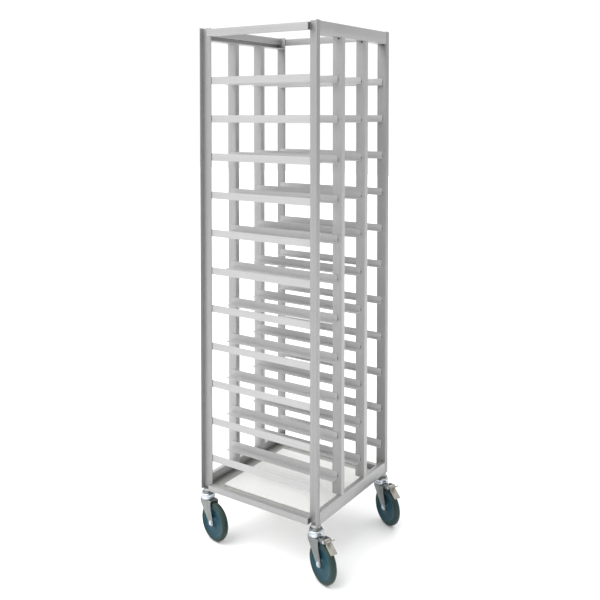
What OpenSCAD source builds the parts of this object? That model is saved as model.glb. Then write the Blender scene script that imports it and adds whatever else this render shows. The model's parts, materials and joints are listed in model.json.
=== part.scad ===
// Mobile sheet pan rack: a welded aluminium frame with cross runners on
// eleven tiers, a floor pan and four swivel casters, two of them braked.
// X runs left to right, Y front to rear, Z up. The origin is on the floor
// under the centre of the frame.

/* [Frame] */
// Outer width of the frame, left to right
rack_w = 463; // [440:1:520]
// Outer depth of the frame, front to rear
rack_d = 465; // [450:1:520]
// Height from the floor to the top of the side rails
rack_h = 1715; // [1700:1:1760]

/* [Side rails] */
// Height of a side rail
rail_h = 41; // [38:1:48]
// Width of the closed box along the top of a side rail
rail_box_w = 16; // [14:1:18]
// Height of that box
rail_box_h = 24; // [20:1:26]
// Width of the inward ledge along the bottom of a side rail
rail_ledge_w = 35; // [30:1:35]
// Wall thickness of the rails and corner uprights
wall = 3; // [2:0.5:3]
// Distance of the top side rails below the tops of the corner uprights
side_drop = 2; // [0:1:4]

/* [Cross rails] */
// Height of the front and rear rails at the top
cross_h = 24; // [20:1:26]
// Height of the front and rear rails at the bottom
bottom_cross_h = 19; // [16:1:24]
// Distance of the ends of the front and rear rails from the side of the frame
cross_inset = 32; // [26:1:33]
// Distance of the top cross rails below the tops of the corner uprights
cross_drop = 5; // [2:1:6]

/* [Uprights] */
// Width of an upright, measured across the rack
upright_w = 35; // [30:1:35]
// Depth of an upright, measured front to rear
upright_d = 20; // [18:1:22]
// Wall thickness of the middle uprights
tube_wall = 2; // [1.5:0.5:3]

/* [Floor pan] */
// Width of the ledges that the pan lies on, measured from the frame's outside
pan_ledge_w = 62; // [55:1:70]
// Distance of the pan's left and right edges from the outside of the frame
pan_inset_x = 52; // [45:1:56]
// Distance of the pan's front and rear edges from the outside of the frame
pan_inset_y = 60; // [50:1:66]

/* [Runners] */
// Number of tiers
tiers = 11; // [9:1:11]
// Height from one tier to the next
tier_pitch = 127; // [120:1:127]
// Distance from the top of the frame to the top of the first tier
first_tier_drop = 162; // [150:1:170]
// Height of a runner
runner_h = 24; // [20:1:26]
// Thickness of a runner
runner_t = 2.5; // [2:0.5:3]
// Width of the wide ledge, on the side that faces the front
front_ledge_w = 32; // [20:1:34]
// Width of the narrow ledge, on the side that faces the rear
rear_ledge_w = 18; // [12:1:18]
// Width of the ledge of the rearmost runner
last_ledge_w = 14; // [10:1:20]
// Distance of the runner ends from the outside of the frame
runner_inset = 15; // [12:1:18]

/* [Casters] */
// Wheel diameter
wheel_dia = 127; // [100:1:127]
// Tyre width
tyre_w = 22; // [20:1:26]
// Height from the floor to the underside of the collars
caster_h = 160; // [158:1:165]
// Horizontal distance from the king pin to the axle
trail = 38; // [34:1:42]
// Distance of the king pin from the side of the frame
pin_from_side = 14; // [12:1:20]
// Distance of the king pin from the front or rear of the frame
pin_from_end = 20; // [18:1:24]
// Swivel of the front left caster, from trailing straight to the right
turn_front_left = -13; // [-180:1:180]
// Swivel of the front right caster
turn_front_right = -23; // [-180:1:180]
// Swivel of the rear left caster
turn_rear_left = -20; // [-180:1:180]
// Swivel of the rear right caster
turn_rear_right = -27; // [-180:1:180]

/* [Hidden] */
$fn = 64;

half_w = rack_w / 2;
half_d = rack_d / 2;
collar_t = 6;
collar_r = 16;
frame_z = caster_h + collar_t;
top_rail_z = rack_h - side_drop - rail_h;
cross_d = upright_d - wall;
bottom_rail_top = frame_z + rail_h;
box_z = rail_h - rail_box_h;

// Front faces of the four rows of uprights, from the front of the frame
row_pitch = (rack_d - upright_d) / 3;
rows = [0, 1, 2, 3];

wheel_r = wheel_dia / 2;
core_r = wheel_r - 12;
hub_w = tyre_w + 4;
bush_r = 6;
axle_r = 4;
fork_gap = hub_w + 2.5;
fork_t = 3;
fork_w = fork_gap + 2 * fork_t;
crown_z = wheel_r * 2 + 2;
crown_t = 4;
cup_top = caster_h - 8;
pin_r = 7;
run_gap = 0.05;
race_gap = 0.4;
bolt_r = 6;

brake_s = 58;
brake_z = 139;
brake_pin_r = 3;
brake_w = 20;

side_names = ["left", "right"];
side_signs = [-1, 1];
caster_names = ["front_left", "front_right", "rear_left", "rear_right"];
caster_sides = [-1, 1, -1, 1];
caster_ends = [-1, -1, 1, 1];
caster_turns = [turn_front_left, turn_front_right, turn_rear_left, turn_rear_right];
braked = [1, 3];

function tier_name(i) = str("runner_tier_", i < 9 ? "0" : "", i + 1);
function tier_top(i) = rack_h - first_tier_drop - i * tier_pitch;
function row_y(i) = -half_d + i * row_pitch;
function caster_x(c) = caster_sides[c] * (half_w - pin_from_side);
function caster_y(c) = caster_ends[c] * (half_d - pin_from_end);

// ---- Colours ----
frame_colour = [0.72, 0.72, 0.73];
runner_colour = [0.80, 0.80, 0.80];
pan_colour = [0.88, 0.88, 0.87];
zinc_colour = [0.62, 0.65, 0.66];
bright_colour = [0.80, 0.84, 0.88];
core_colour = [0.14, 0.33, 0.42];
tyre_colour = [0.20, 0.25, 0.24];
pedal_colour = [0.66, 0.65, 0.60];

// ---- Helpers ----

// Places a child, drawn for the right side with x = 0 on the outer face and
// x growing inwards, on the side given by its sign.
module on_side(sign) {
    if (sign > 0)
        translate([half_w, 0, 0]) mirror([1, 0, 0]) children();
    else
        translate([-half_w, 0, 0]) children();
}

// Extrudes a flat outline drawn in X and Z along Y, from y0 to y1.
module along_y(y0, y1) {
    translate([0, y1, 0])
        rotate([90, 0, 0])
            linear_extrude(height = y1 - y0) children();
}

// A box from one corner to the opposite one.
module block(low, high) {
    translate(low) cube(high - low);
}

// Repeats a child at each of the four casters, turned as it stands.
module at_caster(c) {
    translate([caster_x(c), caster_y(c), 0])
        rotate([0, 0, caster_turns[c]]) children();
}

// ---- Side rails ----

// Section of a side rail: a closed box over a web with an inward ledge.
module rail_section(ledge_w) {
    difference() {
        union() {
            translate([0, box_z]) square([rail_box_w, rail_box_h]);
            square([wall, rail_h]);
            square([ledge_w, wall]);
        }
        translate([wall, box_z + wall])
            square([rail_box_w - 2 * wall, rail_box_h - 2 * wall]);
    }
}

// A side rail, which runs between the webs of the corner uprights.
module side_rail(z, ledge_w) {
    reach = half_d - upright_d;
    translate([0, 0, z]) along_y(-reach, reach) rail_section(ledge_w);
}

module top_side_rail(sign) {
    color(frame_colour) on_side(sign) side_rail(top_rail_z, rail_ledge_w);
}

module bottom_side_rail(sign) {
    color(frame_colour) on_side(sign) side_rail(frame_z, pan_ledge_w);
}

// ---- Cross rails ----

cross_half = half_w - cross_inset;
top_cross_z = rack_h - cross_drop - cross_h;
bottom_cross_z = frame_z;

function cross_y(sign) = sign < 0 ? -half_d : half_d - cross_d;

// A hollow rail across the rack, on the outer faces of the corner uprights'
// webs. The sign is -1 at the front and 1 at the rear.
module cross_rail(sign, z, h) {
    y = cross_y(sign);
    difference() {
        block([-cross_half, y, z], [cross_half, y + cross_d, z + h]);
        block([-cross_half - 1, y + tube_wall, z + tube_wall],
              [cross_half + 1, y + cross_d - tube_wall, z + h - tube_wall]);
    }
}

module top_cross_rail(sign) {
    color(runner_colour) cross_rail(sign, top_cross_z, cross_h);
}

// A bottom cross rail, which has a ledge for the pan between the ledges of the
// side rails.
module bottom_cross_rail(sign) {
    ledge_half = half_w - pan_ledge_w;
    root_y = half_d - cross_d;
    color(runner_colour) {
        cross_rail(sign, bottom_cross_z, bottom_cross_h);
        mirror([0, sign > 0 ? 0 : 1, 0])
            block([-ledge_half, half_d - pan_ledge_w, bottom_cross_z],
                  [ledge_half, root_y + 1, bottom_cross_z + wall - 1]);
    }
}

// Plugs that close the open ends of the cross rails.
module rail_end_caps() {
    depth = 4;
    color(frame_colour)
        for (end = [-1, 1], side = [-1, 1], top = [0, 1]) {
            z = top == 1 ? top_cross_z : bottom_cross_z;
            h = top == 1 ? cross_h : bottom_cross_h;
            on_side(side)
                block([cross_inset, cross_y(end) + tube_wall, z + tube_wall],
                      [cross_inset + depth, cross_y(end) + cross_d - tube_wall, z + h - tube_wall]);
        }
}

// ---- Uprights ----

// A corner upright: an angle over the full height of the frame, whose web
// faces the front or rear and whose side leg lies in the outer face.
module corner_upright(sign, end) {
    web_y = end < 0 ? -half_d + cross_d : half_d - upright_d;
    leg_y = end < 0 ? -half_d : half_d - upright_d;
    color(frame_colour)
        on_side(sign) {
            block([0, web_y, frame_z], [upright_w, web_y + wall, rack_h]);
            block([0, leg_y, frame_z], [wall, leg_y + upright_d, rack_h]);
        }
}

// A middle upright: a closed tube that stands on the bottom rail and ends
// under the top rail's ledge.
module middle_upright(sign, row) {
    low = bottom_rail_top;
    y = row_y(row);
    color(frame_colour)
        on_side(sign)
            difference() {
                block([0, y, low], [upright_w, y + upright_d, top_rail_z]);
                block([tube_wall, y + tube_wall, low - 1],
                      [upright_w - tube_wall, y + upright_d - tube_wall, top_rail_z + 1]);
            }
}

module upright(sign, row) {
    if (row == 0)
        corner_upright(sign, -1);
    else if (row == 3)
        corner_upright(sign, 1);
    else
        middle_upright(sign, row);
}

// ---- Floor pan ----

pan_t = 2;
pan_fold = 2;

// A flat tray on the ledges of the bottom rails, with its edges folded down.
module bottom_pan() {
    px = half_w - pan_inset_x;
    py = half_d - pan_inset_y;
    z = frame_z + wall;
    color(pan_colour)
        difference() {
            block([-px, -py, z], [px, py, z + pan_fold + pan_t]);
            block([-px + pan_t, -py + pan_t, z - 1], [px - pan_t, py - pan_t, z + pan_fold]);
        }
}

// ---- Runners ----

// One runner: an upright strip against a row of uprights, with ledges along
// its bottom edge. A ledge on the rear side lies between the
// uprights.
module runner(face_y, ledge_front, ledge_rear, z) {
    long_half = half_w - runner_inset;
    short_half = half_w - upright_w - 0.5;
    block([-long_half, face_y - runner_t, z - runner_h], [long_half, face_y, z]);
    if (ledge_front > 0)
        block([-long_half, face_y - ledge_front, z - runner_h],
              [long_half, face_y - runner_t + 0.5, z - runner_h + runner_t]);
    if (ledge_rear > 0)
        block([-short_half, face_y - 0.5, z - runner_h],
              [short_half, face_y + ledge_rear, z - runner_h + runner_t]);
}

// The four runners of a tier. The first lies behind the front uprights and the
// others in front of theirs. The first has its ledge on the rear side, the
// two in the middle have one on each side and the last has one in front.
module runner_tier(i) {
    z = tier_top(i);
    color(runner_colour) {
        runner(-half_d + upright_d + runner_t, 0, rear_ledge_w, z);
        runner(row_y(1), front_ledge_w, rear_ledge_w, z);
        runner(row_y(2), front_ledge_w, rear_ledge_w, z);
        runner(row_y(3), last_ledge_w, 0, z);
    }
}

// ---- Caster parts fixed to the frame ----

// Round collars under the corners of the frame, bored for the king pins.
module caster_collars() {
    color(frame_colour)
        for (c = [0 : 3])
            translate([caster_x(c), caster_y(c), caster_h])
                difference() {
                    cylinder(r = collar_r, h = collar_t);
                    translate([0, 0, -1]) cylinder(r = bolt_r + 0.02, h = collar_t + 2);
                }
}

nut_z = crown_z - 4.5;

// The king pins: each is riveted flush into its collar, has a shoulder under
// it and a threaded lower end.
module caster_king_pins() {
    shoulder_z = caster_h - 4;
    color(zinc_colour)
        for (c = [0 : 3])
            translate([caster_x(c), caster_y(c), 0]) {
                translate([0, 0, nut_z - 1]) cylinder(r = pin_r, h = shoulder_z - nut_z + 1);
                translate([0, 0, shoulder_z - 1]) cylinder(r = bolt_r, h = frame_z - shoulder_z + 1);
            }
}

// The nuts that hold the forks up on the king pins.
module caster_pin_nuts() {
    color(bright_colour)
        for (c = [0 : 3])
            translate([caster_x(c), caster_y(c), nut_z])
                difference() {
                    cylinder(r = 10.5, h = 4, $fn = 6);
                    translate([0, 0, -1]) cylinder(r = pin_r + 0.02, h = 6);
                }
}

// The upper ball race: a cupped washer clamped under the collar.
module caster_top_races() {
    low = cup_top + race_gap;
    color(zinc_colour)
        for (c = [0 : 3])
            translate([caster_x(c), caster_y(c), low])
                difference() {
                    union() {
                        cylinder(r = 20, h = 3);
                        cylinder(r = 15, h = caster_h - low);
                    }
                    translate([0, 0, -1]) cylinder(r = pin_r + 0.02, h = caster_h - 4 - low + 1);
                    translate([0, 0, caster_h - 5 - low])
                        cylinder(r = bolt_r + 0.02, h = 6);
                }
}

// ---- Swivelling parts, drawn with the king pin at x = y = 0 and the wheel
// trailing towards +X ----

cup_r = 24;
crown_front = -21;
crown_rear = 34;
leg_foot_r = 11;

// Outline of a fork leg in X and Z.
module leg_outline() {
    polygon([
        [crown_front, crown_z + crown_t],
        [crown_front, crown_z - 12],
        [trail - leg_foot_r * 0.94, wheel_r - leg_foot_r * 0.34],
        [trail + leg_foot_r * 0.99, wheel_r - leg_foot_r * 0.1],
        [crown_rear, crown_z - 22],
        [crown_rear, crown_z + crown_t]
    ]);
    translate([trail, wheel_r]) circle(r = leg_foot_r);
}

// The fork: a round crown, two tapered legs and, on a braked caster, a bracket
// that holds the pedal.
module fork(c) {
    color(zinc_colour)
        at_caster(c)
            difference() {
                union() {
                    block([crown_front, -fork_w / 2, crown_z],
                          [crown_rear, fork_w / 2, crown_z + crown_t]);
                    translate([0, 0, crown_z]) cylinder(r = cup_r - 1, h = crown_t);
                    for (y0 = [-fork_w / 2, fork_w / 2 - fork_t])
                        along_y(y0, y0 + fork_t) leg_outline();
                    if (search(c, braked)) brake_bracket();
                }
                translate([0, 0, crown_z - 1])
                    cylinder(r = pin_r + run_gap, h = crown_t + 2);
                translate([trail, fork_w / 2 + 1, wheel_r])
                    rotate([90, 0, 0]) cylinder(r = axle_r + 0.02, h = fork_w + 2);
            }
}

bracket_gap = brake_w + 0.6;

// Two ears on a tongue that runs back from the crown, bored for the brake pin.
module brake_bracket() {
    ear_t = 3;
    ear_r = 7;
    block([crown_rear - 1, -bracket_gap / 2 - ear_t, crown_z],
          [brake_s - ear_r - 4, bracket_gap / 2 + ear_t, crown_z + crown_t]);
    for (y0 = [-bracket_gap / 2 - ear_t, bracket_gap / 2])
        difference() {
            along_y(y0, y0 + ear_t) {
                translate([brake_s, brake_z]) circle(r = ear_r);
                polygon([
                    [crown_rear - 1, crown_z],
                    [brake_s, brake_z - ear_r],
                    [brake_s, brake_z + ear_r],
                    [crown_rear - 1, crown_z + crown_t + 8]
                ]);
            }
            translate([brake_s, y0 + ear_t + 1, brake_z])
                rotate([90, 0, 0]) cylinder(r = brake_pin_r + 0.02, h = ear_t + 2);
        }
}

// The swivel cup: the pressed housing of the ball bearing, on the fork crown.
module swivel_cup(c) {
    low = crown_z + crown_t;
    color(bright_colour)
        at_caster(c)
            rotate_extrude()
                polygon([
                    [pin_r + run_gap, low],
                    [cup_r - 2, low],
                    [cup_r, low + 3],
                    [cup_r, cup_top - 5],
                    [cup_r - 3, cup_top],
                    [pin_r + run_gap, cup_top]
                ]);
}

// The axle: a bolt through the fork legs, the bush that the wheel turns on,
// and the nut.
module axle(c) {
    head_h = 4.5;
    nut_h = 5.5;
    color(bright_colour)
        at_caster(c) {
            translate([trail, fork_w / 2 + nut_h + 1, wheel_r])
                rotate([90, 0, 0]) cylinder(r = axle_r, h = fork_w + nut_h + 1);
            translate([trail, -fork_w / 2, wheel_r])
                rotate([90, 0, 0]) cylinder(r = 7.5, h = head_h, $fn = 6);
            translate([trail, fork_w / 2 + nut_h, wheel_r])
                rotate([90, 0, 0])
                    difference() {
                        cylinder(r = 7.5, h = nut_h, $fn = 6);
                        translate([0, 0, -1]) cylinder(r = axle_r + 0.02, h = nut_h + 2);
                    }
            translate([trail, fork_gap / 2, wheel_r])
                rotate([90, 0, 0])
                    difference() {
                        cylinder(r = bush_r, h = fork_gap);
                        translate([0, 0, -1]) cylinder(r = axle_r + 0.02, h = fork_gap + 2);
                    }
        }
}

// Turns a profile, drawn as radius and width, about the wheel's axle.
module about_axle() {
    translate([trail, 0, wheel_r]) rotate([90, 0, 0]) rotate_extrude() children();
}

// The wheel core: a hub with a bore, a dished web and a rim.
module wheel_core(c) {
    web = 6;
    rim = 9;
    hub_r = 15;
    color(core_colour)
        at_caster(c)
            about_axle()
                polygon([
                    [bush_r + run_gap, -hub_w / 2],
                    [hub_r - 2, -hub_w / 2],
                    [hub_r, -hub_w / 2 + 2],
                    [hub_r + 5, -web],
                    [core_r - 8, -web],
                    [core_r - 4, -rim],
                    [core_r, -rim],
                    [core_r, rim],
                    [core_r - 4, rim],
                    [core_r - 8, web],
                    [hub_r + 5, web],
                    [hub_r, hub_w / 2 - 2],
                    [hub_r - 2, hub_w / 2],
                    [bush_r + run_gap, hub_w / 2]
                ]);
}

// The tyre: a thick tread with a crowned face, bonded to the core.
module tyre(c) {
    half = tyre_w / 2;
    crown_arc = [for (a = [-90 : 15 : 90])
        [wheel_r - 9 + 9 * cos(a), (half - 9 > 0 ? half - 9 : 0) * sign(a) + 9 * sin(a)]];
    color(tyre_colour)
        at_caster(c)
            about_axle()
                polygon(concat([[core_r, -half]], crown_arc, [[core_r, half]]));
}

// ---- Brakes ----

module brake_pin(c) {
    width = bracket_gap + 6;
    color(bright_colour)
        at_caster(c)
            translate([brake_s, width / 2 + 1.5, brake_z])
                rotate([90, 0, 0]) cylinder(r = brake_pin_r, h = width + 3);
}

// A straight bar between two points of the plane of X and Z.
module bar_outline(from, to, t) {
    run = to - from;
    translate(from)
        rotate(atan2(run[1], run[0]))
            translate([0, -t / 2]) square([norm(run), t]);
}

// The pedal: a barrel on the brake pin with a wide tab to press down over the
// wheel and a shorter tab above it that lets the brake off.
module brake_pedal(c) {
    barrel_r = 6.5;
    tab_w = 28;
    elbow = [brake_s + 15, brake_z - 7];
    press_end = [101, 112];
    release_end = [88, 154];
    color(pedal_colour)
        at_caster(c)
            difference() {
                union() {
                    along_y(-brake_w / 2, brake_w / 2) {
                        translate([brake_s, brake_z]) circle(r = barrel_r);
                        bar_outline([brake_s + 4.5, brake_z], elbow, 4);
                        bar_outline([brake_s + 8, brake_z - 2], release_end, 3);
                    }
                    along_y(-tab_w / 2, tab_w / 2) bar_outline(elbow - [3, -2], press_end, 3);
                }
                translate([brake_s, brake_w / 2 + 1, brake_z])
                    rotate([90, 0, 0]) cylinder(r = brake_pin_r + run_gap, h = brake_w + 2);
            }
}

// ---- What is drawn ----

top_side_rail(-1);  // top_rail_left
top_side_rail(1);  // top_rail_right
top_cross_rail(-1);  // top_rail_front
top_cross_rail(1);  // top_rail_rear
bottom_side_rail(-1);  // bottom_rail_left
bottom_side_rail(1);  // bottom_rail_right
bottom_cross_rail(-1);  // bottom_rail_front
bottom_cross_rail(1);  // bottom_rail_rear
for (s = [0, 1], r = rows)
    upright(side_signs[s], r);
bottom_pan();
rail_end_caps();
for (i = [0 : tiers - 1])
    runner_tier(i);
caster_collars();
caster_king_pins();
caster_pin_nuts();
caster_top_races();
for (c = [0 : 3]) {
    fork(c);
    swivel_cup(c);
    axle(c);
    wheel_core(c);
    tyre(c);
}
for (c = braked) {
    brake_pin(c);
    brake_pedal(c);
}
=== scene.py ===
"""Looks for a mobile sheet pan rack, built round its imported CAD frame.

Shapes are worked out in millimetres in the row frame and turned into metres
when a piece is made. X runs left to right, Y front to rear and Z up.
"""

import json
import logging
import math
from dataclasses import dataclass
from enum import Enum
from typing import Callable, Iterable, Optional

import bmesh
import bpy
from mathutils import Matrix, Vector


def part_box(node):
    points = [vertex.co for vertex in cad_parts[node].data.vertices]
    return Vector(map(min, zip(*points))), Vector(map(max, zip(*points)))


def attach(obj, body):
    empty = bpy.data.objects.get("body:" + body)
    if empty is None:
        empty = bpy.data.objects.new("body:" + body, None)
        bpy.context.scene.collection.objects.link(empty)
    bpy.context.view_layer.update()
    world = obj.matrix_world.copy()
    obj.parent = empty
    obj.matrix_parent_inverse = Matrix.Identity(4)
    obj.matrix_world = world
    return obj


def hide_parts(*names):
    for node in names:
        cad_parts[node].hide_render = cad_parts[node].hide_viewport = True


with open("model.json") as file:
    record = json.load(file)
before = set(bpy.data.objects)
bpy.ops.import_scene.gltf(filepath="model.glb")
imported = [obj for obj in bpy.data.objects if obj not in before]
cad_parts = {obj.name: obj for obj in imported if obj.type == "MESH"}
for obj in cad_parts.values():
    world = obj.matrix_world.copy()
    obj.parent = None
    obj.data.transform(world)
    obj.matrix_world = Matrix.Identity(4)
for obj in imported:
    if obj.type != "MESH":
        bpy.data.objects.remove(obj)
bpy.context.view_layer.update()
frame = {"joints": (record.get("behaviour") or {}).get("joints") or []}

log = logging.getLogger("sheet_pan_rack")

# Millimetres to metres; the rest of the numbers below are angles, cosines or
# distances in millimetres.
MM = 0.001
ROOT = "root"
SHARP = math.radians(28)
NO_MATERIAL = -1
ROUND_PROFILE = 0.5
FACING = 0.99
TOUCH = 1e-3
TIERS = 11
UPRIGHTS = (1, 2, 3, 4)

Point2 = tuple[float, float]
Colour = tuple[float, float, float]


class Along(Enum):
    """The axis that a drawn outline is pulled along."""

    X = 0
    Y = 1
    Z = 2


class Side(Enum):
    """The left or right of the rack, with the sign of X there."""

    LEFT = -1
    RIGHT = 1


class End(Enum):
    """The front or rear of the rack, with the sign of Y there."""

    FRONT = -1
    REAR = 1


# ---------------------------------------------------------------------------
# Shader graphs
# ---------------------------------------------------------------------------


class Graph:
    """A node tree with short ways to add and join nodes."""

    def __init__(self, tree: bpy.types.NodeTree) -> None:
        """Wraps a tree.

        Args:
            tree: The material's or group's node tree.
        """
        self.tree = tree

    def add(self, kind: str, **values: object) -> bpy.types.Node:
        """Adds a node.

        Args:
            kind: The node's type without its ShaderNode prefix, or the full
                name of a group input or output.
            values: Properties of the node, such as operation or data_type.

        Returns:
            The new node.
        """
        name = kind if kind.startswith("NodeGroup") else "ShaderNode" + kind
        node = self.tree.nodes.new(name)
        for key, value in values.items():
            setattr(node, key, value)
        return node

    def join(self, source: bpy.types.NodeSocket, target: bpy.types.NodeSocket) -> None:
        """Links one socket to another."""
        self.tree.links.new(source, target)

    def object_coordinates(self) -> bpy.types.NodeSocket:
        """Gives the Object coordinates of the surface."""
        return self.add("TexCoord").outputs["Object"]

    def scaled(self, vector: bpy.types.NodeSocket, scale: Iterable[float]) -> bpy.types.NodeSocket:
        """Stretches a vector by three factors.

        Args:
            vector: The vector's socket.
            scale: The three factors.

        Returns:
            The stretched vector.
        """
        node = self.add("Mapping")
        node.inputs["Scale"].default_value = tuple(scale)
        self.join(vector, node.inputs["Vector"])
        return node.outputs["Vector"]

    def noise(
        self, vector: bpy.types.NodeSocket, scale: float, detail: float, roughness: float = 0.5
    ) -> bpy.types.NodeSocket:
        """Adds a noise texture.

        Args:
            vector: Where it is read.
            scale: Its scale, per metre.
            detail: Its octaves.
            roughness: How strong the finer octaves are.

        Returns:
            The noise value, about 0 to 1.
        """
        node = self.add("TexNoise")
        node.inputs["Scale"].default_value = scale
        node.inputs["Detail"].default_value = detail
        node.inputs["Roughness"].default_value = roughness
        self.join(vector, node.inputs["Vector"])
        return node.outputs["Fac"]

    def remap(
        self, value: bpy.types.NodeSocket, source: Point2, target: Point2
    ) -> bpy.types.NodeSocket:
        """Maps a value from one range to another, and clamps it.

        Args:
            value: The value's socket.
            source: The range it comes from.
            target: The range it goes to.

        Returns:
            The mapped value.
        """
        node = self.add("MapRange")
        for name, number in zip(("From Min", "From Max", "To Min", "To Max"), source + target):
            node.inputs[name].default_value = number
        self.join(value, node.inputs["Value"])
        return node.outputs["Result"]

    def calculate(
        self, operation: str, first: bpy.types.NodeSocket, second: object
    ) -> bpy.types.NodeSocket:
        """Adds a maths node.

        Args:
            operation: The operation's name.
            first: The first value's socket.
            second: The second value, as a socket or a number.

        Returns:
            The result.
        """
        node = self.add("Math", operation=operation)
        self.join(first, node.inputs[0])
        if isinstance(second, (int, float)):
            node.inputs[1].default_value = second
        else:
            self.join(second, node.inputs[1])
        return node.outputs[0]

    def blend(
        self, amount: bpy.types.NodeSocket, first: object, second: object
    ) -> bpy.types.NodeSocket:
        """Mixes two colours.

        Args:
            amount: How much of the second colour, 0 to 1.
            first: A colour, or a colour socket.
            second: A colour, or a colour socket.

        Returns:
            The mixed colour.
        """
        node = self.add("Mix", data_type="RGBA")
        self.join(amount, node.inputs[0])
        for value, socket in ((first, node.inputs[6]), (second, node.inputs[7])):
            if isinstance(value, tuple):
                socket.default_value = (*value, 1.0)
            else:
                self.join(value, socket)
        return node.outputs[2]

    def bump(
        self, height: bpy.types.NodeSocket, strength: float, distance: float
    ) -> bpy.types.NodeSocket:
        """Adds a bump.

        Args:
            height: The height's socket.
            strength: The bump's strength, 0 to 1.
            distance: The height of 1, in metres.

        Returns:
            The bumped normal.
        """
        node = self.add("Bump")
        node.inputs["Strength"].default_value = strength
        node.inputs["Distance"].default_value = distance
        self.join(height, node.inputs["Height"])
        return node.outputs["Normal"]


class SharedEffects:
    """The node groups that more than one finish uses, each built once."""

    def __init__(self) -> None:
        """Builds every group."""
        self.lines = self._drawn_lines()
        self.marks = self._handling_marks()
        self.dust = self._settled_dust()

    @staticmethod
    def _group(name: str, inputs: dict[str, float], outputs: Iterable[str]) -> tuple:
        """Makes an empty group with a vector input and named values.

        Args:
            name: The group's name.
            inputs: Names and defaults of its number inputs.
            outputs: Names of its number outputs.

        Returns:
            The tree, its graph, its input node and its output node.
        """
        tree = bpy.data.node_groups.new(name, "ShaderNodeTree")
        tree.interface.new_socket("Vector", in_out="INPUT", socket_type="NodeSocketVector")
        for key, value in inputs.items():
            socket = tree.interface.new_socket(key, in_out="INPUT", socket_type="NodeSocketFloat")
            socket.default_value = value
        for key in outputs:
            tree.interface.new_socket(key, in_out="OUTPUT", socket_type="NodeSocketFloat")
        graph = Graph(tree)
        return tree, graph, graph.add("NodeGroupInput"), graph.add("NodeGroupOutput")

    def _drawn_lines(self) -> bpy.types.NodeTree:
        """Fine lines left by a die or a belt, in a vector already stretched.

        Returns:
            The group, with the outputs Lines and Streaks.
        """
        tree, graph, given, made = self._group(
            "drawn_lines", {"Contrast": 1.0}, ("Lines", "Streaks")
        )
        fine = graph.noise(given.outputs["Vector"], 900.0, 3.0, 0.6)
        broad = graph.noise(given.outputs["Vector"], 140.0, 2.0, 0.5)
        centred = graph.calculate("SUBTRACT", fine, 0.5)
        spread = graph.calculate("MULTIPLY", centred, given.outputs["Contrast"])
        graph.join(graph.calculate("ADD", spread, 0.5), made.inputs["Lines"])
        graph.join(graph.remap(broad, (0.3, 0.7), (0.0, 1.0)), made.inputs["Streaks"])
        return tree

    def _handling_marks(self) -> bpy.types.NodeTree:
        """Cloudy patches, and sparse short scuffs.

        Returns:
            The group, with the outputs Cloud and Scuffs.
        """
        tree, graph, given, made = self._group(
            "handling_marks", {"Amount": 0.5}, ("Cloud", "Scuffs")
        )
        large = graph.noise(given.outputs["Vector"], 7.0, 4.0, 0.55)
        small = graph.noise(given.outputs["Vector"], 46.0, 3.0, 0.6)
        both = graph.calculate("ADD", graph.calculate("MULTIPLY", small, 0.35), large)
        graph.join(graph.remap(both, (0.45, 0.95), (0.0, 1.0)), made.inputs["Cloud"])
        tilted = graph.add("Mapping")
        tilted.inputs["Rotation"].default_value = (0.5, 0.3, 0.8)
        tilted.inputs["Scale"].default_value = (260.0, 30.0, 90.0)
        graph.join(given.outputs["Vector"], tilted.inputs["Vector"])
        short = graph.noise(tilted.outputs["Vector"], 1.0, 2.0, 0.5)
        sparse = graph.remap(short, (0.68, 0.76), (0.0, 1.0))
        graph.join(
            graph.calculate("MULTIPLY", sparse, given.outputs["Amount"]), made.inputs["Scuffs"]
        )
        return tree

    def _settled_dust(self) -> bpy.types.NodeTree:
        """Dust that lies on faces that look up, broken by noise.

        Returns:
            The group, with the output Dust.
        """
        tree, graph, given, made = self._group("settled_dust", {"Amount": 0.5}, ("Dust",))
        parts = graph.add("SeparateXYZ")
        graph.join(graph.add("NewGeometry").outputs["Normal"], parts.inputs[0])
        upward = graph.remap(parts.outputs["Z"], (0.2, 0.95), (0.0, 1.0))
        speckle = graph.noise(given.outputs["Vector"], 60.0, 5.0, 0.65)
        patches = graph.remap(speckle, (0.35, 0.75), (0.2, 1.0))
        mask = graph.calculate("MULTIPLY", upward, patches)
        graph.join(
            graph.calculate("MULTIPLY", mask, given.outputs["Amount"]), made.inputs["Dust"]
        )
        return tree

    @staticmethod
    def place(
        graph: Graph, tree: bpy.types.NodeTree, vector: bpy.types.NodeSocket, **values: float
    ) -> bpy.types.Node:
        """Places a group in a material.

        Args:
            graph: The material's graph.
            tree: The group.
            vector: The vector it reads.
            values: Its number inputs, by name.

        Returns:
            The group's node.
        """
        node = graph.add("Group")
        node.node_tree = tree
        graph.join(vector, node.inputs["Vector"])
        for key, value in values.items():
            node.inputs[key].default_value = value
        return node


# ---------------------------------------------------------------------------
# Finishes
# ---------------------------------------------------------------------------


@dataclass(frozen=True)
class Finish:
    """What every finish has: a name and a way to start its material."""

    name: str

    def start(self) -> tuple[bpy.types.Material, Graph, bpy.types.Node]:
        """Makes an empty material with a Principled shader.

        Returns:
            The material, its graph and the shader node.
        """
        material = bpy.data.materials.new(self.name)
        material.use_nodes = True
        graph = Graph(material.node_tree)
        shader = next(n for n in material.node_tree.nodes if n.type == "BSDF_PRINCIPLED")
        return material, graph, shader


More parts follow.
